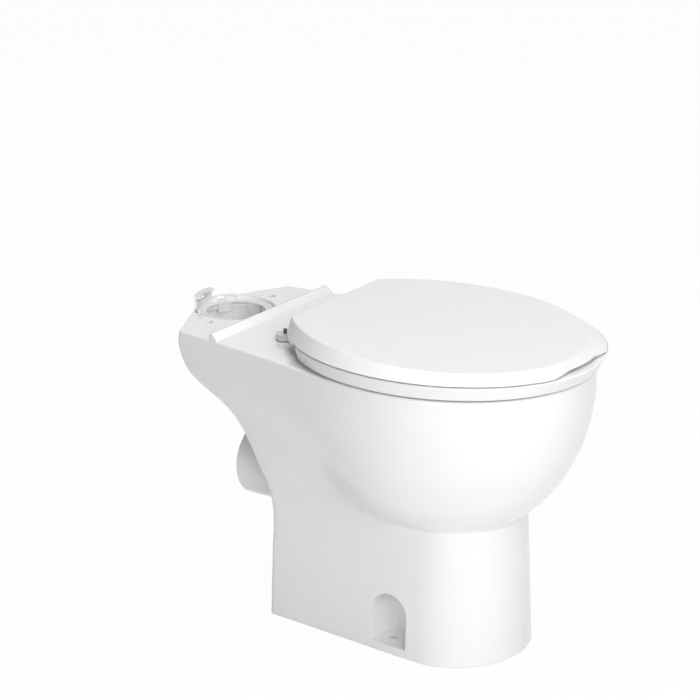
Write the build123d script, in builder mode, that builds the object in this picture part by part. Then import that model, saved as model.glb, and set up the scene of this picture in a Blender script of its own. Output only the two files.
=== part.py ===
"""Close-coupled toilet bowl with a rear outlet spigot, seat, lid and quick-release hinges.

Millimetres. Z is up from the floor and the front of the seat points to -Y.
The middle of the overall length is at Y = 0.
"""
from build123d import *
from math import asin, atan2, cos, degrees, pi, radians, sin, sqrt, tan
import os

os.makedirs("parts", exist_ok=True)

# Overall size and the places along it, measured back from the front of the seat
overall_length = 601.0
front_y = -overall_length / 2
rear_y = overall_length / 2
rim_height = 385.0
wide_y = front_y + 209.2
hinge_axis_y = front_y + 382.5
post_y = hinge_axis_y + 11.0
button_y = post_y + 18.0
rib_y = front_y + 478.5
bolt_line_y = front_y + 536.5
deck_rear_y = front_y + 549.5

# Bulged body of the bowl
china_wall = 12.0
rim_half_width = 174.0
rim_front_length = 196.0
bulge_depth = 220.0
bulge_shoulder = 20.0
deck_half_width = 121.0
deck_corner_radius = 8.0
deck_edge_round = 3.0
cut_margin = 1.0
deck_thickness = 14.0
side_mid_reach = 0.45
crease_drop = 204.0
side_end_lean = 0.8
# Sections of the shell from the rim down to the crease:
# drop, setback of the rear edge, inset of the rear corner, share of the width kept at the middle
shell_sections = [
    (0.0, 0.0, 0.0, 0.53),
    (30.0, 0.0, 0.5, 0.53),
    (50.0, 9.0, 2.0, 0.53),
    (70.0, 31.0, 5.0, 0.52),
    (90.0, 59.0, 11.0, 0.50),
    (115.0, 78.0, 20.0, 0.46),
    (145.0, 89.0, 29.0, 0.38),
    (170.0, 97.5, 34.0, 0.24),
    (190.0, 104.5, 38.5, 0.18),
    (crease_drop, 110.0, 41.0, 0.54),
]
# Sections of the ankle from the crease down, in the same terms
ankle_sections = [
    (crease_drop, 110.0, 41.0, 0.54),
    (226.0, 118.0, 39.8, 0.54),
    (253.0, 121.5, 38.4, 0.54),
    (285.0, 121.0, 36.7, 0.54),
]
foot_sections = [
    (285.0, 121.0, 36.7, 0.54),
    (rim_height, 121.0, 31.5, 0.54),
]

# Foot of the bowl
foot_front_half_width = 101.0
foot_rear_half_width = 89.5
foot_front_length = 91.6
foot_arc_y = front_y + 182.3
foot_rear_y = front_y + 428.5
foot_corner_radius = 9.0
foot_side_draft = 3.0
foot_front_draft = 2.5
foot_hollow_overlap = 5.0

# Floor screw pockets in the sides of the foot
pocket_width = 55.0
pocket_top = 81.0
pocket_floor = 11.0
pocket_y = front_y + 230.5
pocket_centre_x = 78.0
pocket_skin = 8.0
pocket_skin_inset = 4.0
screw_spacing = 150.0
screw_y = pocket_y + 6.0
screw_hole_radius = 4.5

# Rim, basin and flush way
rim_top_thickness = 12.0
rim_floor_thickness = 8.0
rim_depth = 40.0
rim_lip = 9.0
opening_half_width = 112.0
opening_front_length = 150.0
opening_rear_length = 112.0
channel_outer_inset = 14.0
channel_rear_length = 150.0
rim_hole_radius = 3.0
rim_hole_count = 26
rim_hole_inset = 7.0
duct_half_width = 30.0
duct_wall = 10.0
duct_front_y = wide_y + 150.0
# Basin from under the rim down: drop, half width, front length, rear length, shift of the centre
basin_sections = [
    (40.0, 160.0, 182.0, 132.0, 0.0),
    (85.0, 150.0, 171.0, 124.0, 1.0),
    (135.0, 124.0, 142.0, 102.0, 4.0),
    (180.0, 84.0, 97.0, 78.0, 10.0),
    (212.0, 50.0, 55.0, 50.0, 17.0),
    (238.0, 37.0, 37.0, 37.0, 21.0),
]

# Trapway and outlet
outlet_height = 180.0
outlet_end_y = front_y + 509.5
spigot_radius = 51.0
spigot_bore_radius = 40.0
spigot_depth = 60.0
spigot_length = 70.0
trap_bore_radius = 35.0
trap_wall = 10.0
trap_start = (wide_y + 14.5, 175.0)
trap_sump = (wide_y + 59.5, -11.0)
trap_weir_y = wide_y + 169.5
trap_sump_bend = 48.0
trap_weir_bend = 60.0

# Tank shelf
rib_width = 12.0
rib_height = 8.5
rib_top_width = 3.5
rib_edge_bevel = 1.0
rib_end_inset = 0.6
tank_bolt_spacing = 138.0
tank_bolt_hole_radius = 4.5
boss_radius = 55.5
boss_depth = 45.0
flush_y = rear_y - boss_radius
flush_hole_radius = 43.0
recess_radius = 53.0
recess_depth = 7.5
chamber_radius = 47.5
chamber_floor = 35.0
chamber_roof = 13.0

# Flush collar and its gasket
collar_gap = 0.3
gasket_thickness = 1.5
collar_thickness = 2.0
collar_bore_radius = 40.0
leg_setback = 0.5
leg_count = 6
leg_arc = 26.0
leg_reach = 5.0
leg_hook = 2.3
leg_hook_height = 2.0
fence_radius = 55.2
fence_thickness = 3.2
fence_start = 38.0
fence_arc = 112.0
fence_end_gap = 0.4
fence_height = 2.5
fence_windows = [(54.0, 13.0), (134.0, 11.0)]
fence_window_height = 5.5
latch_start = 77.0
latch_arc = 50.0
latch_height = 16.0
latch_lip = 5.5
latch_lip_thickness = 3.0
latch_slot_start = 88.0
latch_slot_arc = 28.0
latch_slot_height = 4.0

# Seat
buffer_height = 3.7
running_gap = 0.3
seat_bottom_gap = buffer_height + running_gap
seat_thickness = 17.5
seat_half_width = 181.9
seat_front_length = 209.2
seat_rear_length = 212.0
seat_rear_y = hinge_axis_y - 36.0
seat_undercut = 5.3
seat_front_undercut = 9.0
seat_opening_half_width = 104.0
seat_opening_front_length = 140.0
seat_opening_rear_length = 97.0
seat_opening_flare = 4.0
seat_inner_round = 7.0
seat_outer_round = 1.5
buffer_peg_radius = 3.0
buffer_peg_depth = 6.0
seat_buffer_length = 26.0
seat_buffer_width = 12.0
# Places of the seat buffers on one side: offset from the middle, offset from the widest line, turn
seat_buffer_places = [(60.0, -155.0, 26.0), (140.0, 85.0, 112.0)]

# Lid
lid_gap = 2.0
lid_front_rise = 8.5
lid_rear_rise = 21.1
lid_bevel_side = 14.1
lid_bevel_front = 26.8
lid_bevel_rear = 3.0
lid_rear_y = hinge_axis_y + 2.0
lid_top_rear_length = 211.0
lid_wall = 4.5
lid_edge_round = 2.0
lid_skirt_drop = 4.5
lid_lug_embed = 2.0
lid_skirt_start_y = hinge_axis_y - 28.0
knuckle_notch_width = 52.0
knuckle_notch_top = 13.0
finger_notch_half_width = 62.0
finger_notch_height = 3.0
finger_notch_depth = 14.0
lid_buffer_radius = 6.0
# Places of the lid buffers on one side: offset from the middle, offset from the widest line
lid_buffer_places = [(75.0, -145.0), (135.0, 60.0)]

# Hinges
hinge_spacing = 140.0
hinge_axis_rise = 26.0
knuckle_radius = 8.0
pin_radius = 4.0
pin_chamfer = 0.5
pin_fit = 0.08
press_clearance = 0.05
knuckle_gap = 0.6
mount_width = 17.0
seat_lug_width = 12.0
lid_lug_width = 14.0
lug_root = 14.0
pad_thickness = 1.0
tail_radius = 12.5
tail_height = 7.0
# Outline of the hinge mount above the pad: reach behind the hinge axis, rise above the base
mount_outline = [
    (-8.0, 0.0),
    (30.0, 0.0),
    (30.0, 7.0),
    (23.0, 7.0),
    (18.0, 13.2),
    (10.0, 16.2),
    (6.0, 19.7),
    (-6.0, 19.7),
]

# Hinge posts and the clamp under the shelf
post_flange_radius = 8.0
post_flange_thickness = 1.5
post_head_radius = 4.6
post_head_height = 10.5
post_groove_radius = 3.4
post_groove_height = 2.0
post_thread_radius = 4.0
post_thread_length = 38.0
post_hole_radius = 7.0
post_fit = 0.1
bush_flange_radius = 14.0
bush_flange_thickness = 3.0
washer_radius = 11.0
washer_thickness = 1.5
nut_height = 10.0
nut_radius = 8.0
nut_wing_span = 34.0
nut_wing_thickness = 3.5
nut_wing_height = 13.0

# Release buttons, springs and lock plates
button_radius = 2.5
button_top_rise = 13.7
button_head_round = 0.6
button_fit = 0.1
button_flange_radius = 4.0
button_flange_thickness = 0.8
button_travel = 1.2
button_roof = 1.3
button_tip_radius = 0.6
button_tip_gap = 0.1
button_neck_radius = 1.9
spring_radius = 3.0
spring_wire_radius = 0.25
spring_pitch = 0.9
plate_thickness = 1.2
plate_half_width = 6.5
plate_web = 2.3
plate_hole_radius = 4.8
plate_tail = 6.0
plate_slot_width = 4.2
plate_travel = 1.1
plate_clearance = 0.2
plate_rise = 0.3

crease_height = rim_height - crease_drop
rib_top = rim_height + rib_height
rib_rear_y = rib_y + rib_width
rib_crest_y = rib_rear_y - rib_top_width
deck_under = rim_height - deck_thickness
seat_bottom = rim_height + seat_bottom_gap
seat_top = seat_bottom + seat_thickness
lid_bottom = seat_top + lid_gap
lid_front_top = lid_bottom + lid_front_rise
lid_rear_top = lid_bottom + lid_rear_rise
hinge_axis_z = rim_height + hinge_axis_rise
mount_base = rim_height + running_gap + pad_thickness
tail_top = mount_base + tail_height
half_hinge_spacing = hinge_spacing / 2
mount_side = mount_width / 2 + knuckle_gap


def egg_wire(half_width, front_length, rear_length, centre_y, cut_y):
    """Egg outline with a straight rear edge at cut_y, drawn inside a line builder."""
    cut_angle = degrees(asin((cut_y - centre_y) / rear_length))
    right = EllipticalCenterArc(
        (0, centre_y), half_width, rear_length, start_angle=0, arc_size=cut_angle
    )
    front = EllipticalCenterArc(
        (0, centre_y), half_width, front_length, start_angle=180, arc_size=180
    )
    left = EllipticalCenterArc(
        (0, centre_y), half_width, rear_length, start_angle=180 - cut_angle, arc_size=cut_angle
    )
    Line(right @ 1, left @ 0)
    return front


def oval_wire(half_width, front_length, rear_length, centre_y):
    """Closed oval with a different length in front of and behind its widest line."""
    EllipticalCenterArc((0, centre_y), half_width, front_length, start_angle=180, arc_size=180)
    EllipticalCenterArc((0, centre_y), half_width, rear_length, start_angle=0, arc_size=180)


def bulge_share(drop):
    """Share of the full rim width that the bulge keeps at a drop below the rim."""
    depth = max(drop - bulge_shoulder, 0.0)
    return sqrt(1 - (depth / bulge_depth) ** 2)


def shell_front(drop):
    """Half width, length and centre of the front arc of the shell at a drop below the rim."""
    height = rim_height - drop
    if drop < crease_drop:
        share = bulge_share(drop)
        return rim_half_width * share, rim_front_length * share, wide_y
    half_width = foot_front_half_width - height * tan(radians(foot_side_draft))
    length = foot_front_length - height * tan(radians(foot_front_draft))
    return half_width, length, foot_arc_y


def side_points(drop, setback, inset, share):
    """Widest, middle and rear points of one side of a section of the shell."""
    wide_x, front_length, arc_y = shell_front(drop)
    rear_x = deck_half_width - inset
    end_y = deck_rear_y - setback
    middle_x = rear_x + share * (wide_x - rear_x)
    middle_y = arc_y + side_mid_reach * (end_y - arc_y)
    return (wide_x, arc_y), (middle_x, middle_y), (rear_x, end_y)


def shell_wire(drop, setback, inset, share):
    """One horizontal section of the shell, from the front arc to the rear edge."""
    wide, middle, rear = side_points(drop, setback, inset, share)
    wide_x, front_length, arc_y = shell_front(drop)
    side_end_y = rear[1] - deck_corner_radius
    rear_x = rear[0] - deck_corner_radius
    lean = side_end_lean * (wide[0] - rear[0]) / (rear[1] - wide[1])
    EllipticalCenterArc((0, arc_y), wide_x, front_length, start_angle=180, arc_size=180)
    for side in (1, -1):
        Spline(
            (side * wide[0], wide[1]),
            (side * middle[0], middle[1]),
            (side * rear[0], side_end_y),
            tangents=[(0, 1), (-side * lean, 1)],
        )
        RadiusArc((side * rear[0], side_end_y), (side * rear_x, rear[1]), -side * deck_corner_radius)
    Line((rear_x, rear[1]), (-rear_x, rear[1]))


def foot_wire(height, inset, rear_reach):
    """Outline of the foot at a height, drawn in by the drafts and by an even inset."""
    side = height * tan(radians(foot_side_draft)) + inset
    front = height * tan(radians(foot_front_draft)) + inset
    front_x = foot_front_half_width - side
    rear_x = foot_rear_half_width - side
    end_y = foot_rear_y + rear_reach
    turn_y = end_y - foot_corner_radius
    turn_x = rear_x - foot_corner_radius
    EllipticalCenterArc(
        (0, foot_arc_y), front_x, foot_front_length - front, start_angle=180, arc_size=180
    )
    for hand in (1, -1):
        Line((hand * front_x, foot_arc_y), (hand * rear_x, turn_y))
        RadiusArc((hand * rear_x, turn_y), (hand * turn_x, end_y), -hand * foot_corner_radius)
    Line((turn_x, end_y), (-turn_x, end_y))


def foot_form(inset, height, rear_reach):
    """Drafted solid of the foot up to a height."""
    with BuildPart() as form:
        for level in (0.0, height):
            with BuildSketch(Plane.XY.offset(level)):
                with BuildLine():
                    foot_wire(level, inset, rear_reach)
                make_face()
        loft()
    return form.part


def pocket_solid(growth):
    """Arch-topped floor screw pocket on both sides, grown by an even skin."""
    width = pocket_width + 2 * growth
    spring_line = pocket_top - pocket_width / 2
    floor = pocket_floor - growth
    with BuildPart() as pocket:
        with BuildSketch(Plane.YZ.offset(-foot_front_half_width - 5)):
            with Locations((pocket_y, (spring_line + floor) / 2)):
                Rectangle(width, spring_line - floor)
            with Locations((pocket_y, spring_line)):
                Circle(width / 2)
        extrude(amount=foot_front_half_width)
        with BuildSketch(Plane.XY):
            with Locations((-pocket_centre_x, pocket_y)):
                Circle(width / 2)
            with Locations((-pocket_centre_x - width / 2, pocket_y)):
                Rectangle(width, width)
        extrude(amount=pocket_top + growth, mode=Mode.INTERSECT)
        mirror(about=Plane.YZ)
    return pocket.part


def ring_sector(start, arc, inner, outer, bottom, top):
    """Part of an upright ring about the flush hole, from a start angle counted from +X."""
    with BuildPart() as sector:
        with BuildSketch(Plane.XY.offset(bottom)):
            with BuildLine():
                near = CenterArc((0, flush_y), inner, start, arc)
                far = CenterArc((0, flush_y), outer, start, arc)
                Line(near @ 0, far @ 0)
                Line(near @ 1, far @ 1)
            make_face()
        extrude(amount=top - bottom)
    return sector.part


# Rib across the tank shelf, trimmed to the deck outline
with BuildPart() as rib_bar:
    with BuildSketch(Plane.YZ.offset(-rim_half_width)):
        with BuildLine():
            Polyline(
                (rib_y, rim_height - rib_height),
                (rib_y, rim_height),
                (rib_crest_y - rib_edge_bevel, rib_top - rib_edge_bevel),
                (rib_crest_y, rib_top),
                (rib_rear_y - rib_edge_bevel, rib_top),
                (rib_rear_y, rim_height),
                (rib_rear_y, rim_height - rib_height),
                close=True,
            )
        make_face()
    extrude(amount=2 * rim_half_width)
    with BuildSketch(Plane.XY.offset(rim_height - rib_height)):
        with BuildLine():
            shell_wire(0, 0, rib_end_inset, shell_sections[0][3])
        make_face()
    extrude(amount=2 * rib_height, mode=Mode.INTERSECT)

# Rear end of the shelf, drawn round the boss of the flush hole
with BuildPart() as shelf_end:
    with BuildSketch(Plane.XY.offset(deck_under)):
        with Locations((0, flush_y)):
            Circle(boss_radius)
        with Locations((0, deck_rear_y - deck_corner_radius)):
            with GridLocations(2 * (deck_half_width - deck_corner_radius), 0, 2, 1):
                Circle(deck_corner_radius)
        make_hull()
    extrude(amount=deck_thickness)
    top_edges = shelf_end.edges().group_by(Axis.Z)[-1]
    corner_y = deck_rear_y - deck_corner_radius / 2
    fillet(top_edges.filter_by_position(Axis.Y, corner_y, rear_y), radius=deck_edge_round)

# Bowl: one piece of vitreous china
with BuildPart() as bowl:
    for sections in (shell_sections, ankle_sections, foot_sections):
        for section in sections:
            with BuildSketch(Plane.XY.offset(rim_height - section[0])):
                with BuildLine():
                    shell_wire(*section)
                make_face()
        loft()
    fillet(bowl.faces().sort_by(Axis.Z)[-1].edges(), radius=deck_edge_round)

    # Open underside of the foot and of the tank shelf
    open_back = rear_y - foot_rear_y
    add(foot_form(china_wall, crease_height + foot_hollow_overlap, open_back), mode=Mode.SUBTRACT)
    hollow_sections = [(deck_thickness, *shell_sections[0][1:])] + shell_sections[1:]
    for section in hollow_sections:
        wide, middle, rear = side_points(*section)
        front_x = middle[0] - china_wall
        rear_x = rear[0] - china_wall
        with BuildSketch(Plane.XY.offset(rim_height - section[0])):
            with BuildLine():
                Polyline(
                    (-front_x, middle[1]),
                    (front_x, middle[1]),
                    (rear_x, rear[1]),
                    (rear_x, rear_y + china_wall),
                    (-rear_x, rear_y + china_wall),
                    (-rear_x, rear[1]),
                    close=True,
                )
            make_face()
    loft(ruled=True, mode=Mode.SUBTRACT)

    # Skin of the basin, the trapway, the spigot and the pockets inside the hollow
    for drop, half_width, front_length, rear_length, shift in basin_sections:
        with BuildSketch(Plane.XY.offset(rim_height - drop)):
            with BuildLine():
                oval_wire(
                    half_width + china_wall,
                    front_length + china_wall,
                    rear_length + china_wall,
                    wide_y + shift,
                )
            make_face()
    loft()
    with BuildLine(Plane.YZ) as trap_line:
        FilletPolyline(
            trap_start,
            trap_sump,
            (trap_weir_y, outlet_height),
            (outlet_end_y - spigot_depth / 2, outlet_height),
            radius=(trap_sump_bend, trap_weir_bend),
        )
    with BuildSketch(Plane(origin=trap_line.line @ 0, z_dir=trap_line.line % 0)):
        Circle(trap_bore_radius + trap_wall)
    sweep(path=trap_line.line)
    with BuildSketch(Plane.XZ.offset(-outlet_end_y)):
        with Locations((0, outlet_height)):
            Circle(spigot_radius)
    extrude(amount=spigot_length)
    add(foot_form(pocket_skin_inset, crease_height, 0).intersect(pocket_solid(pocket_skin)))

    # Tank shelf: boss, rib, flush duct and chamber walls
    add(shelf_end.part)
    with BuildSketch(Plane.XY.offset(rim_height - boss_depth)):
        with Locations((0, flush_y)):
            Circle(boss_radius)
        with Locations((0, (duct_front_y + flush_y) / 2)):
            Rectangle(2 * (duct_half_width + duct_wall), flush_y - duct_front_y)
    extrude(amount=boss_depth)
    add(rib_bar.part)

    # Basin, trapway and outlet bores
    for drop, half_width, front_length, rear_length, shift in basin_sections:
        with BuildSketch(Plane.XY.offset(rim_height - drop)):
            with BuildLine():
                oval_wire(half_width, front_length, rear_length, wide_y + shift)
            make_face()
    loft(mode=Mode.SUBTRACT)
    with BuildSketch(Plane(origin=trap_line.line @ 0, z_dir=trap_line.line % 0)):
        Circle(trap_bore_radius)
    sweep(path=trap_line.line, mode=Mode.SUBTRACT)
    with BuildSketch(Plane.XZ.offset(-outlet_end_y)):
        with Locations((0, outlet_height)):
            Circle(spigot_bore_radius)
    extrude(amount=spigot_depth, mode=Mode.SUBTRACT)

    # Rim opening, rim channel, flush duct and chamber
    with BuildSketch(Plane.XY.offset(rim_height)):
        with BuildLine():
            oval_wire(opening_half_width, opening_front_length, opening_rear_length, wide_y)
        make_face()
    extrude(amount=-rim_depth, mode=Mode.SUBTRACT)
    channel_floor = rim_height - rim_depth + rim_floor_thickness
    channel_height = rim_depth - rim_floor_thickness - rim_top_thickness
    with BuildSketch(Plane.XY.offset(channel_floor)):
        with BuildLine():
            oval_wire(
                rim_half_width - channel_outer_inset,
                rim_front_length - channel_outer_inset,
                channel_rear_length,
                wide_y,
            )
        make_face()
        with BuildLine():
            oval_wire(
                opening_half_width + rim_lip,
                opening_front_length + rim_lip,
                opening_rear_length + rim_lip,
                wide_y,
            )
        make_face(mode=Mode.SUBTRACT)
    extrude(amount=channel_height, mode=Mode.SUBTRACT)
    with BuildSketch(Plane.XY.offset(rim_height - chamber_floor)):
        with Locations((0, (wide_y + channel_rear_length + flush_y) / 2 - rim_lip)):
            Rectangle(2 * duct_half_width, flush_y - wide_y - channel_rear_length + 2 * rim_lip)
        with Locations((0, flush_y)):
            Circle(chamber_radius)
    extrude(amount=chamber_floor - chamber_roof, mode=Mode.SUBTRACT)
    with BuildSketch(Plane.XY.offset(rim_height)):
        with Locations((0, flush_y)):
            Circle(flush_hole_radius)
    extrude(amount=cut_margin - chamber_floor, mode=Mode.SUBTRACT)
    with BuildSketch(Plane.XY.offset(rim_height)):
        with Locations((0, flush_y)):
            Circle(recess_radius)
    extrude(amount=-recess_depth, mode=Mode.SUBTRACT)
    opening_start = fence_start - fence_end_gap
    opening_arc = fence_arc + 2 * fence_end_gap
    ledge = rim_height - recess_depth
    gap_inner = recess_radius - cut_margin
    gap_outer = boss_radius + cut_margin
    gap = ring_sector(opening_start, opening_arc, gap_inner, gap_outer, ledge, rim_height)
    add(gap, mode=Mode.SUBTRACT)
    for step in range(rim_hole_count):
        angle = 2 * pi * (step + 0.5) / rim_hole_count
        hole_length = opening_rear_length if sin(angle) > 0 else opening_front_length
        hole_x = (opening_half_width + rim_lip + rim_hole_inset) * cos(angle)
        hole_y = wide_y + (hole_length + rim_lip + rim_hole_inset) * sin(angle)
        with Locations((hole_x, hole_y, channel_floor + cut_margin)):
            Cylinder(
                rim_hole_radius,
                rim_floor_thickness + 2 * cut_margin,
                align=(Align.CENTER, Align.CENTER, Align.MAX),
                mode=Mode.SUBTRACT,
            )

    # Bolt holes, hinge post holes, floor screw pockets
    with Locations((0, bolt_line_y, rim_height)):
        with GridLocations(tank_bolt_spacing, 0, 2, 1):
            Hole(tank_bolt_hole_radius, depth=boss_depth)
    with Locations((0, post_y, rim_height)):
        with GridLocations(hinge_spacing, 0, 2, 1):
            Hole(post_hole_radius, depth=deck_thickness + cut_margin)
    add(pocket_solid(0), mode=Mode.SUBTRACT)
    with Locations((0, screw_y, pocket_floor)):
        with GridLocations(screw_spacing, 0, 2, 1):
            Hole(screw_hole_radius, depth=pocket_floor)
bowl.part.label = "bowl"
export_step(bowl.part, "parts/bowl.step")

# Gasket and snap-in collar of the flush hole
recess_floor = rim_height - recess_depth
with BuildPart() as collar_gasket:
    with BuildSketch(Plane.XY.offset(recess_floor)):
        with Locations((0, flush_y)):
            Circle(recess_radius - collar_gap)
            Circle(flush_hole_radius + collar_gap, mode=Mode.SUBTRACT)
    extrude(amount=gasket_thickness)
collar_gasket.part.label = "collar_gasket"
export_step(collar_gasket.part, "parts/collar_gasket.step")

collar_base = recess_floor + gasket_thickness
collar_top = collar_base + collar_thickness
neck_radius = flush_hole_radius - collar_gap
leg_inner = collar_bore_radius + leg_setback
hook_radius = flush_hole_radius + leg_hook
hook_top = rim_height - chamber_roof - collar_gap
hook_bottom = hook_top - leg_hook_height
leg_bottom = hook_top - leg_reach
fence_inner = fence_radius - fence_thickness
fence_top = rim_height + fence_height
latch_top = rim_height + latch_height
with BuildPart() as flush_collar:
    with BuildSketch(Plane.XY.offset(collar_base)):
        with Locations((0, flush_y)):
            Circle(recess_radius - collar_gap)
            Circle(collar_bore_radius, mode=Mode.SUBTRACT)
    extrude(amount=collar_thickness)
    for leg in range(leg_count):
        start = 360 * leg / leg_count - leg_arc / 2
        add(ring_sector(start, leg_arc, leg_inner, neck_radius, leg_bottom, collar_top))
        add(ring_sector(start, leg_arc, leg_inner, hook_radius, hook_bottom, hook_top))
    fence_root = fence_inner - collar_thickness
    add(ring_sector(fence_start, fence_arc, fence_root, fence_radius, collar_base, collar_top))
    add(ring_sector(fence_start, fence_arc, fence_inner, fence_radius, collar_base, fence_top))
    add(ring_sector(latch_start, latch_arc, fence_inner, fence_radius, collar_base, latch_top))
    lip_bottom = latch_top - latch_lip_thickness
    add(ring_sector(latch_start, latch_arc, fence_inner - latch_lip, fence_radius, lip_bottom, latch_top))
    cuts = [(start, arc, collar_top, fence_window_height) for start, arc in fence_windows]
    cuts.append((latch_slot_start, latch_slot_arc, fence_top + collar_thickness, latch_slot_height))
    for start, arc, bottom, height in cuts:
        cut_inner = fence_inner - cut_margin
        cut_outer = fence_radius + cut_margin
        window = ring_sector(start, arc, cut_inner, cut_outer, bottom, bottom + height)
        add(window, mode=Mode.SUBTRACT)
flush_collar.part.label = "flush_collar"
export_step(flush_collar.part, "parts/flush_collar.step")


def hinge_lug(root_y, root_bottom, root_height, inner_x, width):
    """Knuckle on the hinge axis drawn in a hull with its root, on both sides of the middle."""
    with BuildPart() as lug:
        with BuildSketch(Plane.YZ.offset(inner_x)):
            with Locations((hinge_axis_y, hinge_axis_z)):
                Circle(knuckle_radius)
            with Locations((root_y, root_bottom + root_height / 2)):
                Rectangle(lug_root, root_height)
            make_hull()
        extrude(amount=width)
        with Locations(Plane.YZ.offset(inner_x)):
            with Locations((hinge_axis_y, hinge_axis_z)):
                Cylinder(
                    pin_radius + pin_fit,
                    width,
                    align=(Align.CENTER, Align.CENTER, Align.MIN),
                    mode=Mode.SUBTRACT,
                )
        mirror(about=Plane.YZ)
    return lug.part


# Seat: a ring with two hinge lugs and sockets for its buffers
with BuildPart() as seat:
    with BuildSketch(Plane.XY.offset(seat_bottom)):
        with BuildLine():
            egg_wire(
                seat_half_width - seat_undercut,
                seat_front_length - seat_front_undercut,
                seat_rear_length - seat_undercut,
                wide_y,
                seat_rear_y,
            )
        make_face()
    with BuildSketch(Plane.XY.offset(seat_top)):
        with BuildLine():
            egg_wire(seat_half_width, seat_front_length, seat_rear_length, wide_y, seat_rear_y)
        make_face()
    loft()
    fillet(seat.edges().group_by(Axis.Z)[-1], radius=seat_outer_round)
    for height, flare in ((seat_bottom, seat_opening_flare), (seat_top, 0.0)):
        with BuildSketch(Plane.XY.offset(height)):
            with BuildLine():
                oval_wire(
                    seat_opening_half_width + flare,
                    seat_opening_front_length + flare,
                    seat_opening_rear_length + flare,
                    wide_y,
                )
            make_face()
    loft(mode=Mode.SUBTRACT)
    fillet(seat.edges(Select.LAST).group_by(Axis.Z)[-1], radius=seat_inner_round)
    seat_root = seat_rear_y - lug_root / 2 - seat_outer_round
    seat_root_height = seat_thickness - 2 * seat_outer_round
    seat_lug_x = half_hinge_spacing + mount_side
    add(hinge_lug(seat_root, seat_bottom + seat_outer_round, seat_root_height, seat_lug_x, seat_lug_width))
    for place_x, place_y, turn in seat_buffer_places:
        with Locations((place_x, wide_y + place_y, seat_bottom), (-place_x, wide_y + place_y, seat_bottom)):
            Cylinder(
                buffer_peg_radius + press_clearance,
                buffer_peg_depth + running_gap,
                align=(Align.CENTER, Align.CENTER, Align.MIN),
                mode=Mode.SUBTRACT,
            )
seat.part.label = "seat"
export_step(seat.part, "parts/seat.step")

with BuildPart() as seat_buffers:
    for place_x, place_y, turn in seat_buffer_places:
        with BuildSketch(Plane.XY.offset(seat_bottom)):
            with Locations(Location((place_x, wide_y + place_y, 0), turn)):
                SlotOverall(seat_buffer_length, seat_buffer_width)
        extrude(amount=-buffer_height)
        with BuildSketch(Plane.XY.offset(seat_bottom)):
            with Locations((place_x, wide_y + place_y)):
                Circle(buffer_peg_radius)
        extrude(amount=buffer_peg_depth)
    mirror(about=Plane.YZ)
seat_buffers.part.label = "seat_buffers"
export_step(seat_buffers.part, "parts/seat_buffers.step")

# Lid: a tilted shell with a rear skirt and its own pair of lugs
lid_slope = (lid_rear_rise - lid_front_rise) / (lid_rear_y - lid_bevel_rear - front_y - lid_bevel_front)
lid_tilt = atan2(lid_slope, 1)


def lid_plane(drop):
    """Tilted plane of the lid top at the widest line, moved down square to itself."""
    rise = lid_front_top + lid_slope * (wide_y - front_y - lid_bevel_front)
    top = Plane(origin=(0, wide_y, rise), x_dir=(1, 0, 0), z_dir=(0, -sin(lid_tilt), cos(lid_tilt)))
    return top.offset(-drop)


def lid_bottom_wire(inset):
    """Lower outline of the lid, drawn in by an even inset."""
    half_width = seat_half_width - inset
    egg_wire(half_width, seat_front_length - inset, seat_rear_length - inset, wide_y, lid_rear_y - inset)


def lid_form(inset):
    """Closed solid between the flat lower outline and the tilted top outline."""
    with BuildPart() as form:
        with BuildSketch(Plane.XY.offset(lid_bottom)):
            with BuildLine():
                lid_bottom_wire(inset)
            make_face()
        with BuildSketch(lid_plane(inset)):
            with BuildLine():
                egg_wire(
                    seat_half_width - lid_bevel_side - inset,
                    seat_front_length - lid_bevel_front - inset,
                    lid_top_rear_length - inset,
                    0,
                    lid_rear_y - lid_bevel_rear - inset - wide_y,
                )
            make_face()
        loft()
    return form.part


with BuildPart() as lid:
    add(lid_form(0))
    fillet(lid.faces().sort_by(Axis.Z)[-1].edges(), radius=lid_edge_round)
    add(lid_form(lid_wall), mode=Mode.SUBTRACT)
    with BuildSketch(Plane.XY.offset(lid_bottom)):
        with BuildLine():
            lid_bottom_wire(0)
        make_face()
        with BuildLine():
            lid_bottom_wire(lid_wall)
        make_face(mode=Mode.SUBTRACT)
        with Locations((0, lid_skirt_start_y)):
            Rectangle(
                2 * seat_half_width,
                seat_rear_length,
                align=(Align.CENTER, Align.MIN),
                mode=Mode.INTERSECT,
            )
    extrude(amount=-lid_skirt_drop)
    with Locations((0, hinge_axis_y, lid_bottom - lid_skirt_drop)):
        with GridLocations(hinge_spacing, 0, 2, 1):
            Box(
                knuckle_notch_width,
                2 * lug_root,
                hinge_axis_z + knuckle_notch_top - lid_bottom + lid_skirt_drop,
                align=(Align.CENTER, Align.CENTER, Align.MIN),
                mode=Mode.SUBTRACT,
            )
    with Locations((0, front_y, lid_bottom)):
        Box(
            2 * finger_notch_half_width,
            2 * finger_notch_depth,
            2 * finger_notch_height,
            mode=Mode.SUBTRACT,
        )
    lid_lug_x = half_hinge_spacing - mount_side - lid_lug_width
    lug_root_bottom = lid_rear_top - lid_wall - lid_edge_round - lid_lug_embed
    add(hinge_lug(hinge_axis_y - lug_root / 2, lug_root_bottom, lid_wall, lid_lug_x, lid_lug_width))
lid.part.label = "lid"
export_step(lid.part, "parts/lid.step")

with BuildPart() as lid_buffers:
    with BuildSketch(Plane.XY.offset(seat_top + running_gap)):
        for place_x, place_y in lid_buffer_places:
            with Locations((place_x, wide_y + place_y), (-place_x, wide_y + place_y)):
                Circle(lid_buffer_radius)
    extrude(amount=lid_rear_rise)
    split(bisect_by=lid_plane(lid_wall), keep=Keep.BOTTOM)
lid_buffers.part.label = "lid_buffers"
export_step(lid_buffers.part, "parts/lid_buffers.step")

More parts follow.
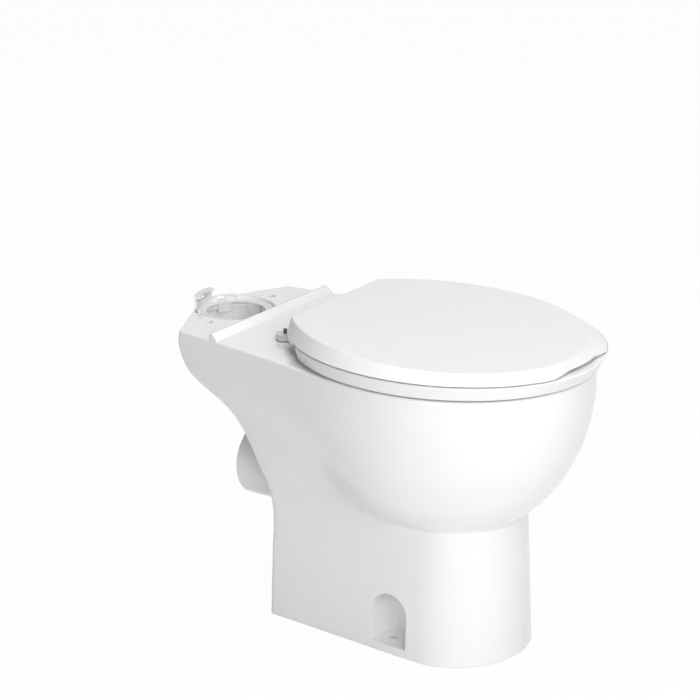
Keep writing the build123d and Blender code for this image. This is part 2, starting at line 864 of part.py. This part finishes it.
# Hinge posts, their bushes and washers under the shelf
post_places = [(half_hinge_spacing, post_y), (-half_hinge_spacing, post_y)]
head_base = rim_height + post_flange_thickness
with BuildPart() as hinge_posts:
    for radius, bottom, height in (
        (post_thread_radius, rim_height - post_thread_length, post_thread_length),
        (post_flange_radius, rim_height, post_flange_thickness),
        (post_groove_radius, head_base, post_groove_height),
        (post_head_radius, head_base + post_groove_height, post_head_height - post_groove_height),
    ):
        with BuildSketch(Plane.XY.offset(bottom)):
            with Locations(*post_places):
                Circle(radius)
        extrude(amount=height)
hinge_posts.part.label = "hinge_posts"
export_step(hinge_posts.part, "parts/hinge_posts.step")

with BuildPart() as post_bushes:
    with BuildSketch(Plane.XY.offset(deck_under - bush_flange_thickness)):
        with Locations(*post_places):
            Circle(bush_flange_radius)
    extrude(amount=bush_flange_thickness)
    with BuildSketch(Plane.XY.offset(deck_under)):
        with Locations(*post_places):
            Circle(post_hole_radius - post_fit)
    extrude(amount=deck_thickness - running_gap)
    with BuildSketch(Plane.XY.offset(rim_height)):
        with Locations(*post_places):
            Circle(post_thread_radius + post_fit)
    extrude(amount=-post_thread_length, mode=Mode.SUBTRACT)
post_bushes.part.label = "post_bushes"
export_step(post_bushes.part, "parts/post_bushes.step")

washer_top = deck_under - bush_flange_thickness
with BuildPart() as post_washers:
    with BuildSketch(Plane.XY.offset(washer_top)):
        with Locations(*post_places):
            Circle(washer_radius)
            Circle(post_thread_radius + post_fit, mode=Mode.SUBTRACT)
    extrude(amount=-washer_thickness)
post_washers.part.label = "post_washers"
export_step(post_washers.part, "parts/post_washers.step")

# Wing nuts, each turning on its own stud
nut_top = washer_top - washer_thickness - running_gap
with BuildPart() as wing_nut_right:
    with BuildSketch(Plane.XY.offset(nut_top)):
        with Locations(post_places[0]):
            Circle(nut_radius)
    extrude(amount=-nut_height)
    with BuildSketch(Plane.XY.offset(nut_top - nut_height / 2)):
        with Locations(post_places[0]):
            RectangleRounded(nut_wing_span, nut_wing_thickness, nut_wing_thickness / 3)
    extrude(amount=-nut_wing_height)
    with BuildSketch(Plane.XY.offset(nut_top)):
        with Locations(post_places[0]):
            Circle(post_thread_radius + post_fit)
    extrude(amount=-nut_height - nut_wing_height, mode=Mode.SUBTRACT)
wing_nut_right.part.label = "wing_nut_right"
export_step(wing_nut_right.part, "parts/wing_nut_right.step")

with BuildPart() as wing_nut_left:
    mirror(wing_nut_right.part, about=Plane.YZ)
wing_nut_left.part.label = "wing_nut_left"
export_step(wing_nut_left.part, "parts/wing_nut_left.step")

# Hinge mounts on their pads
plate_bottom = mount_base + plate_rise
plate_top = plate_bottom + plate_thickness
pocket_roof_z = tail_top - button_roof
plate_hole_y = post_y + plate_travel
plate_front_y = plate_hole_y - plate_hole_radius - plate_web
plate_length = button_y + plate_tail - plate_front_y
mount_front_y = hinge_axis_y + mount_outline[0][0]
with BuildPart() as hinge_mount_right:
    with BuildSketch(Plane.YZ.offset(half_hinge_spacing - mount_width / 2)):
        with Locations((hinge_axis_y, mount_base)):
            Polygon(*mount_outline, align=None)
        with Locations((hinge_axis_y, hinge_axis_z)):
            Circle(knuckle_radius)
    extrude(amount=mount_width)
    with BuildSketch(Plane.XY.offset(mount_base)):
        with Locations((half_hinge_spacing, button_y)):
            Circle(tail_radius)
    extrude(amount=tail_height)
    # Bore of the pin, socket of the post, way of the lock plate and pocket of the button
    with BuildSketch(Plane.YZ.offset(half_hinge_spacing - mount_width)):
        with Locations((hinge_axis_y, hinge_axis_z)):
            Circle(pin_radius + press_clearance)
    extrude(amount=2 * mount_width, mode=Mode.SUBTRACT)
    with BuildSketch(Plane.XY.offset(mount_base)):
        with Locations((half_hinge_spacing, post_y)):
            Circle(post_flange_radius + plate_clearance)
    extrude(amount=post_flange_thickness + plate_clearance - running_gap - pad_thickness, mode=Mode.SUBTRACT)
    with BuildSketch(Plane.XY.offset(mount_base)):
        with Locations((half_hinge_spacing, post_y)):
            Circle(post_head_radius + post_fit)
    extrude(amount=post_head_height + plate_clearance + running_gap, mode=Mode.SUBTRACT)
    with BuildSketch(Plane.XY.offset(mount_base)):
        with Locations((half_hinge_spacing, plate_front_y - plate_travel - plate_clearance)):
            Rectangle(
                2 * (plate_half_width + plate_clearance),
                plate_length + plate_travel + 2 * plate_clearance,
                align=(Align.CENTER, Align.MIN),
            )
    extrude(amount=plate_rise + plate_thickness + plate_clearance, mode=Mode.SUBTRACT)
    with BuildSketch(Plane.XY.offset(mount_base)):
        with Locations((half_hinge_spacing, button_y)):
            Circle(button_flange_radius + running_gap)
    extrude(amount=tail_height - button_roof, mode=Mode.SUBTRACT)
    with BuildSketch(Plane.XY.offset(tail_top)):
        with Locations((half_hinge_spacing, button_y)):
            Circle(button_radius + button_fit)
    extrude(amount=-tail_height, mode=Mode.SUBTRACT)
hinge_mount_right.part.label = "hinge_mount_right"
export_step(hinge_mount_right.part, "parts/hinge_mount_right.step")

with BuildPart() as hinge_mount_left:
    mirror(hinge_mount_right.part, about=Plane.YZ)
hinge_mount_left.part.label = "hinge_mount_left"
export_step(hinge_mount_left.part, "parts/hinge_mount_left.step")

with BuildPart() as mount_pads:
    with BuildSketch(Plane.XY.offset(mount_base)):
        with Locations((half_hinge_spacing, mount_front_y)):
            Rectangle(mount_width, button_y - mount_front_y, align=(Align.CENTER, Align.MIN))
        with Locations((half_hinge_spacing, button_y)):
            Circle(tail_radius)
        with Locations((half_hinge_spacing, post_y)):
            Circle(post_flange_radius + plate_clearance, mode=Mode.SUBTRACT)
    extrude(amount=-pad_thickness)
    mirror(about=Plane.YZ)
mount_pads.part.label = "mount_pads"
export_step(mount_pads.part, "parts/mount_pads.step")

# Hinge pins, held in the mounts
pin_start = lid_lug_x + knuckle_gap
pin_end = half_hinge_spacing + mount_side + seat_lug_width
with BuildPart() as hinge_pin_right:
    with BuildSketch(Plane.YZ.offset(pin_start)):
        with Locations((hinge_axis_y, hinge_axis_z)):
            Circle(pin_radius)
    extrude(amount=pin_end - pin_start)
    chamfer(hinge_pin_right.edges().filter_by(GeomType.CIRCLE), length=pin_chamfer)
hinge_pin_right.part.label = "hinge_pin_right"
export_step(hinge_pin_right.part, "parts/hinge_pin_right.step")

with BuildPart() as hinge_pin_left:
    mirror(hinge_pin_right.part, about=Plane.YZ)
hinge_pin_left.part.label = "hinge_pin_left"
export_step(hinge_pin_left.part, "parts/hinge_pin_left.step")

# Release buttons: a stem with a flange and a cone that pushes the lock plate
flange_top = pocket_roof_z - button_tip_gap
flange_bottom = flange_top - button_flange_thickness
tip_z = mount_base + button_tip_gap + button_travel
cone_height = (button_neck_radius - button_tip_radius) * button_travel / plate_travel
with BuildPart() as release_button_right:
    with BuildSketch(Plane.XZ.offset(-button_y)):
        with BuildLine():
            Polyline(
                (half_hinge_spacing, tip_z),
                (half_hinge_spacing + button_tip_radius, tip_z),
                (half_hinge_spacing + button_neck_radius, tip_z + cone_height),
                (half_hinge_spacing + button_neck_radius, flange_bottom),
                (half_hinge_spacing + button_flange_radius, flange_bottom),
                (half_hinge_spacing + button_flange_radius, flange_top),
                (half_hinge_spacing + button_radius, flange_top),
                (half_hinge_spacing + button_radius, mount_base + button_top_rise - button_head_round),
                (half_hinge_spacing + button_radius - button_head_round, mount_base + button_top_rise),
                (half_hinge_spacing, mount_base + button_top_rise),
                close=True,
            )
        make_face()
    revolve(axis=Axis((half_hinge_spacing, button_y, 0), (0, 0, 1)))
release_button_right.part.label = "release_button_right"
export_step(release_button_right.part, "parts/release_button_right.step")

with BuildPart() as release_button_left:
    mirror(release_button_right.part, about=Plane.YZ)
release_button_left.part.label = "release_button_left"
export_step(release_button_left.part, "parts/release_button_left.step")

spring_foot = plate_top + button_tip_gap
with BuildPart() as button_spring_right:
    with BuildLine():
        coil = Helix(
            pitch=spring_pitch,
            height=flange_bottom - spring_foot - 2 * spring_wire_radius,
            radius=spring_radius,
            center=(half_hinge_spacing, button_y, spring_foot + spring_wire_radius),
        )
    with BuildSketch(Plane(origin=coil @ 0, z_dir=coil % 0)):
        Circle(spring_wire_radius)
    sweep(path=coil)
button_spring_right.part.label = "button_spring_right"
export_step(button_spring_right.part, "parts/button_spring_right.step")

with BuildPart() as button_spring_left:
    mirror(button_spring_right.part, about=Plane.YZ)
button_spring_left.part.label = "button_spring_left"
export_step(button_spring_left.part, "parts/button_spring_left.step")

# Lock plates: an offset round hole whose edge sits in the groove of the post, and a slot for the cone
plate_slot_length = 2 * (button_neck_radius + plate_clearance)
with BuildPart() as lock_plate_right:
    with BuildSketch(Plane.XY.offset(plate_bottom)):
        with Locations((half_hinge_spacing, plate_front_y)):
            Rectangle(2 * plate_half_width, plate_length, align=(Align.CENTER, Align.MIN))
        with Locations((half_hinge_spacing, plate_hole_y)):
            Circle(plate_hole_radius, mode=Mode.SUBTRACT)
        with Locations((half_hinge_spacing, button_y + plate_travel)):
            Rectangle(plate_slot_width, plate_slot_length, mode=Mode.SUBTRACT)
    extrude(amount=plate_thickness)
lock_plate_right.part.label = "lock_plate_right"
export_step(lock_plate_right.part, "parts/lock_plate_right.step")

with BuildPart() as lock_plate_left:
    mirror(lock_plate_right.part, about=Plane.YZ)
lock_plate_left.part.label = "lock_plate_left"
export_step(lock_plate_left.part, "parts/lock_plate_left.step")
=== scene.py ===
from math import cos, radians, sin

import bpy
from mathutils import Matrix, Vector

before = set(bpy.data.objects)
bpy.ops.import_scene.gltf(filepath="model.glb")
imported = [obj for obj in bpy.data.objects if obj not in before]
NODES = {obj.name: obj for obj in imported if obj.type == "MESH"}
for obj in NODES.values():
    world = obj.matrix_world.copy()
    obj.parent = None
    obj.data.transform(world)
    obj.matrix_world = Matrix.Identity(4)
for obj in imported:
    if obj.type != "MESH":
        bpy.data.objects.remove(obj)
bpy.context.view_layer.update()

# Camera of the photograph
CAMERA_AZIMUTH = -55.1
CAMERA_ELEVATION = 18.9
CAMERA_DISTANCE = 2.9273
CAMERA_TARGET = Vector((-0.1292, -0.0322, 0.4151))
PICTURE_WIDTH = 700
FOCAL_PIXELS = 2368.4
SENSOR_WIDTH = 36.0

# Sky and floor
WHITE = (1.0, 1.0, 1.0, 1.0)
WORLD_LEVEL = 0.02
FLOOR_SHOWN_WHITE = 0.975
FLOOR_MATTE = (0.85, 0.85, 0.85, 1.0)
FLOOR_HALF_SIZE = 6.0

# Lamps: name, azimuth, elevation, power
LAMP_AIM = Vector((0, 0, 0.25))
LAMP_DISTANCE = 2.8
LAMP_SIZE = 1.4
LAMPS = [
    ("key", -35, 20, 38),
    ("side", -74, 20, 17),
    ("upper_left", -40, 50, 8),
    ("upper_right", 10, 50, 14),
    ("top", 0, 85, 36),
]


def spherical(azimuth, elevation):
    """Direction from the object towards a viewer; azimuth 0 stands in front of the seat."""
    a, e = radians(azimuth), radians(elevation)
    return Vector((sin(a) * cos(e), -cos(a) * cos(e), sin(e)))


class Value:
    """A number that varies over a surface, held as a socket, with arithmetic that adds Math nodes."""

    def __init__(self, nodes, socket):
        self.nodes = nodes
        self.socket = socket

    def _math(self, operation, first, second, clamp=False):
        settings = {"operation": operation, "use_clamp": clamp}
        return self.nodes.value("ShaderNodeMath", settings, {0: first, 1: second})

    def __add__(self, other):
        return self._math("ADD", self, other)

    def __radd__(self, other):
        return self._math("ADD", other, self)

    def __sub__(self, other):
        return self._math("SUBTRACT", self, other)

    def __rsub__(self, other):
        return self._math("SUBTRACT", other, self)

    def __mul__(self, other):
        return self._math("MULTIPLY", self, other)

    def __rmul__(self, other):
        return self._math("MULTIPLY", other, self)

    def clamped(self):
        """The number held between 0 and 1."""
        return self._math("ADD", self, 0.0, clamp=True)

    def above(self, level, width):
        """A soft step from 0 to 1 that is centred on a level."""
        return ((self - (level - width / 2)) * (1 / width)).clamped()


class Nodes:
    """A node tree that is written as Python expressions."""

    def __init__(self, tree):
        self.tree = tree
        self.tree.nodes.clear()

    def node(self, kind, settings=None, inputs=None):
        """Adds a node: first its settings, then the values or links of its sockets."""
        made = self.tree.nodes.new(kind)
        for name, value in (settings or {}).items():
            setattr(made, name, value)
        for name, value in (inputs or {}).items():
            if isinstance(value, Value):
                self.tree.links.new(value.socket, made.inputs[name])
            elif isinstance(value, bpy.types.NodeSocket):
                self.tree.links.new(value, made.inputs[name])
            else:
                made.inputs[name].default_value = value
        return made

    def value(self, kind, settings=None, inputs=None, output=0):
        """Adds a node and gives one of its outputs as a number."""
        return Value(self, self.node(kind, settings, inputs).outputs[output])

    def shown(self):
        """1 on what the camera sees, directly or mirrored in the object, and 0 on what lights it."""
        ray = self.node("ShaderNodeLightPath")
        seen = Value(self, ray.outputs["Is Camera Ray"])
        mirrored = Value(self, ray.outputs["Is Glossy Ray"])
        return (seen + mirrored).clamped()

    def blend(self, factor, first, second):
        """A shader between two others."""
        return self.node("ShaderNodeMixShader", None, {0: factor, 1: first, 2: second}).outputs[0]


class Finish(Nodes):
    """A material made of nodes."""

    def __init__(self, name):
        self.material = bpy.data.materials.new(name)
        self.material.use_nodes = True
        super().__init__(self.material.node_tree)

    def place(self):
        """The place on the object, in metres."""
        return self.node("ShaderNodeTexCoord").outputs["Object"]

    def noise(self, size, detail=2.0, roughness=0.5):
        """Even noise with features of a size in metres."""
        inputs = {"Vector": self.place(), "Scale": 1 / size, "Detail": detail, "Roughness": roughness}
        return self.value("ShaderNodeTexNoise", None, inputs, "Fac")

    def mix(self, factor, first, second):
        """A colour between two others."""
        made = self.node("ShaderNodeMix", {"data_type": "RGBA"}, {"Factor": factor, 6: first, 7: second})
        return made.outputs[2]

    def bump(self, height, depth, normal=None):
        """A normal roughened by a height that is given as a share of a depth in metres."""
        inputs = {"Height": height, "Strength": 1.0, "Distance": depth}
        if normal is not None:
            inputs["Normal"] = normal
        return self.node("ShaderNodeBump", None, inputs).outputs["Normal"]

    def rounded(self, radius):
        """A normal that rounds sharp edges."""
        return self.node("ShaderNodeBevel", {"samples": 6}, {"Radius": radius}).outputs["Normal"]

    def ended(self, shader):
        """Ends the material in a shader."""
        self.node("ShaderNodeOutputMaterial", None, {"Surface": shader})
        return self.material

    def surface(self, **inputs):
        """Ends the material in a Principled surface."""
        named = {name.replace("_", " "): value for name, value in inputs.items()}
        return self.ended(self.node("ShaderNodeBsdfPrincipled", None, named).outputs["BSDF"])


def glazed_china():
    """White vitreous china under a thick clear glaze that settles in soft waves."""
    china = Finish("glazed_china")
    waves = china.noise(0.045, 1.0)
    clouds = china.noise(0.16, 2.0)
    specks = china.noise(0.0011, 1.0).above(0.78, 0.04)
    body = china.mix(clouds, (0.850, 0.850, 0.845, 1), (0.875, 0.875, 0.872, 1))
    colour = china.mix(specks * 0.25, body, (0.74, 0.73, 0.70, 1))
    normal = china.bump(waves, 0.0006, china.rounded(0.0022))
    return china.surface(
        Base_Color=colour,
        Roughness=0.16 + 0.06 * clouds,
        IOR=1.52,
        Coat_Weight=0.5,
        Coat_Roughness=0.04,
        Normal=normal,
    )


def moulded(name, low, high, roughness, grain_size, grain_depth, edge):
    """Moulded plastic or rubber with a faint grain, between two shades of grey."""
    plastic = Finish(name)
    clouds = plastic.noise(0.05, 2.0)
    grain = plastic.noise(grain_size, 2.0)
    return plastic.surface(
        Base_Color=plastic.mix(clouds, (*low, 1), (*high, 1)),
        Roughness=roughness - 0.04 + 0.08 * clouds,
        Normal=plastic.bump(grain, grain_depth, plastic.rounded(edge)),
    )


def steel(name, roughness):
    """Drawn steel with fine lines along the part."""
    metal = Finish(name)
    stretched = metal.node("ShaderNodeMapping", None, {"Vector": metal.place(), "Scale": (40, 900, 900)})
    inputs = {"Vector": stretched.outputs[0], "Scale": 1.0, "Detail": 2.0}
    lines = metal.value("ShaderNodeTexNoise", None, inputs, "Fac")
    return metal.surface(
        Base_Color=metal.mix(lines, (0.52, 0.52, 0.53, 1), (0.66, 0.66, 0.67, 1)),
        Metallic=1.0,
        Roughness=roughness - 0.06 + 0.12 * lines,
        Normal=metal.bump(lines, 0.00002, metal.rounded(0.0003)),
    )


def dress(finish, *names):
    """Puts a finish on CAD nodes."""
    for name in names:
        data = NODES[name].data
        data.materials.clear()
        data.materials.append(finish)


def both(name):
    """The left and the right node of a pair."""
    return name + "_left", name + "_right"


def studio_floor():
    """A pale floor that shows nearly white to the camera and keeps a soft shadow."""
    half = FLOOR_HALF_SIZE
    corners = [(-half, -half, 0), (half, -half, 0), (half, half, 0), (-half, half, 0)]
    data = bpy.data.meshes.new("studio_floor")
    data.from_pydata(corners, [], [(0, 1, 2, 3)])
    floor = bpy.data.objects.new("studio_floor", data)
    bpy.context.scene.collection.objects.link(floor)
    finish = Finish("studio_floor")
    matte = finish.node("ShaderNodeBsdfDiffuse", None, {"Color": FLOOR_MATTE})
    glow = finish.node("ShaderNodeEmission", None, {"Color": WHITE, "Strength": 1.0})
    shader = finish.blend(finish.shown() * FLOOR_SHOWN_WHITE, matte.outputs[0], glow.outputs[0])
    data.materials.append(finish.ended(shader))


def studio_world():
    """An even sky that shows white to the camera and in reflections."""
    world = bpy.data.worlds.new("studio")
    bpy.context.scene.world = world
    world.use_nodes = True
    sky = Nodes(world.node_tree)
    soft = sky.node("ShaderNodeBackground", None, {"Color": WHITE, "Strength": WORLD_LEVEL})
    bright = sky.node("ShaderNodeBackground", None, {"Color": WHITE, "Strength": 1.0})
    shader = sky.blend(sky.shown(), soft.outputs[0], bright.outputs[0])
    sky.node("ShaderNodeOutputWorld", None, {"Surface": shader})


def soft_box(name, azimuth, elevation, power):
    """A square studio lamp that faces the object."""
    data = bpy.data.lights.new(name, "AREA")
    data.size = LAMP_SIZE
    data.energy = power
    lamp = bpy.data.objects.new(name, data)
    bpy.context.scene.collection.objects.link(lamp)
    direction = spherical(azimuth, elevation)
    lamp.location = LAMP_AIM + direction * LAMP_DISTANCE
    lamp.rotation_euler = direction.to_track_quat("Z", "Y").to_euler()


def photo_camera():
    """The camera that took the photograph."""
    data = bpy.data.cameras.new("photo_camera")
    data.sensor_width = SENSOR_WIDTH
    data.lens = FOCAL_PIXELS / PICTURE_WIDTH * SENSOR_WIDTH
    camera = bpy.data.objects.new("photo_camera", data)
    bpy.context.scene.collection.objects.link(camera)
    back = spherical(CAMERA_AZIMUTH, CAMERA_ELEVATION)
    camera.location = CAMERA_TARGET + back * CAMERA_DISTANCE
    camera.rotation_euler = back.to_track_quat("Z", "Y").to_euler()
    bpy.context.scene.camera = camera


china = glazed_china()
seat_plastic = moulded("seat_plastic", (0.83, 0.83, 0.83), (0.86, 0.86, 0.86), 0.22, 0.004, 0.00002, 0.0012)
pale_rubber = moulded("pale_rubber", (0.70, 0.70, 0.69), (0.76, 0.76, 0.75), 0.55, 0.001, 0.00004, 0.0008)
hinge_plastic = moulded("hinge_plastic", (0.60, 0.60, 0.61), (0.66, 0.66, 0.67), 0.30, 0.002, 0.00002, 0.0006)
dark_rubber = moulded("dark_rubber", (0.10, 0.10, 0.10), (0.15, 0.15, 0.15), 0.60, 0.001, 0.00004, 0.0004)
dark_plastic = moulded("dark_plastic", (0.06, 0.06, 0.065), (0.09, 0.09, 0.095), 0.35, 0.001, 0.00002, 0.0004)
nut_plastic = moulded("nut_plastic", (0.74, 0.74, 0.72), (0.80, 0.80, 0.78), 0.42, 0.002, 0.00003, 0.0006)
collar_plastic = moulded(
    "collar_plastic", (0.72, 0.73, 0.74), (0.78, 0.79, 0.80), 0.35, 0.002, 0.00002, 0.0006
)
pin_steel = steel("pin_steel", 0.30)

dress(china, "bowl")
dress(seat_plastic, "seat", "lid")
dress(pale_rubber, "seat_buffers", "lid_buffers")
dress(hinge_plastic, *both("hinge_mount"))
dress(dark_rubber, "mount_pads", "collar_gasket")
dress(pin_steel, *both("hinge_pin"), *both("button_spring"), *both("lock_plate"), "hinge_posts")
dress(dark_plastic, *both("release_button"))
dress(nut_plastic, "post_bushes", "post_washers", *both("wing_nut"))
dress(collar_plastic, "flush_collar")

bpy.context.scene.view_settings.view_transform = "Standard"
studio_floor()
studio_world()
for name, azimuth, elevation, power in LAMPS:
    soft_box(name, azimuth, elevation, power)
photo_camera()
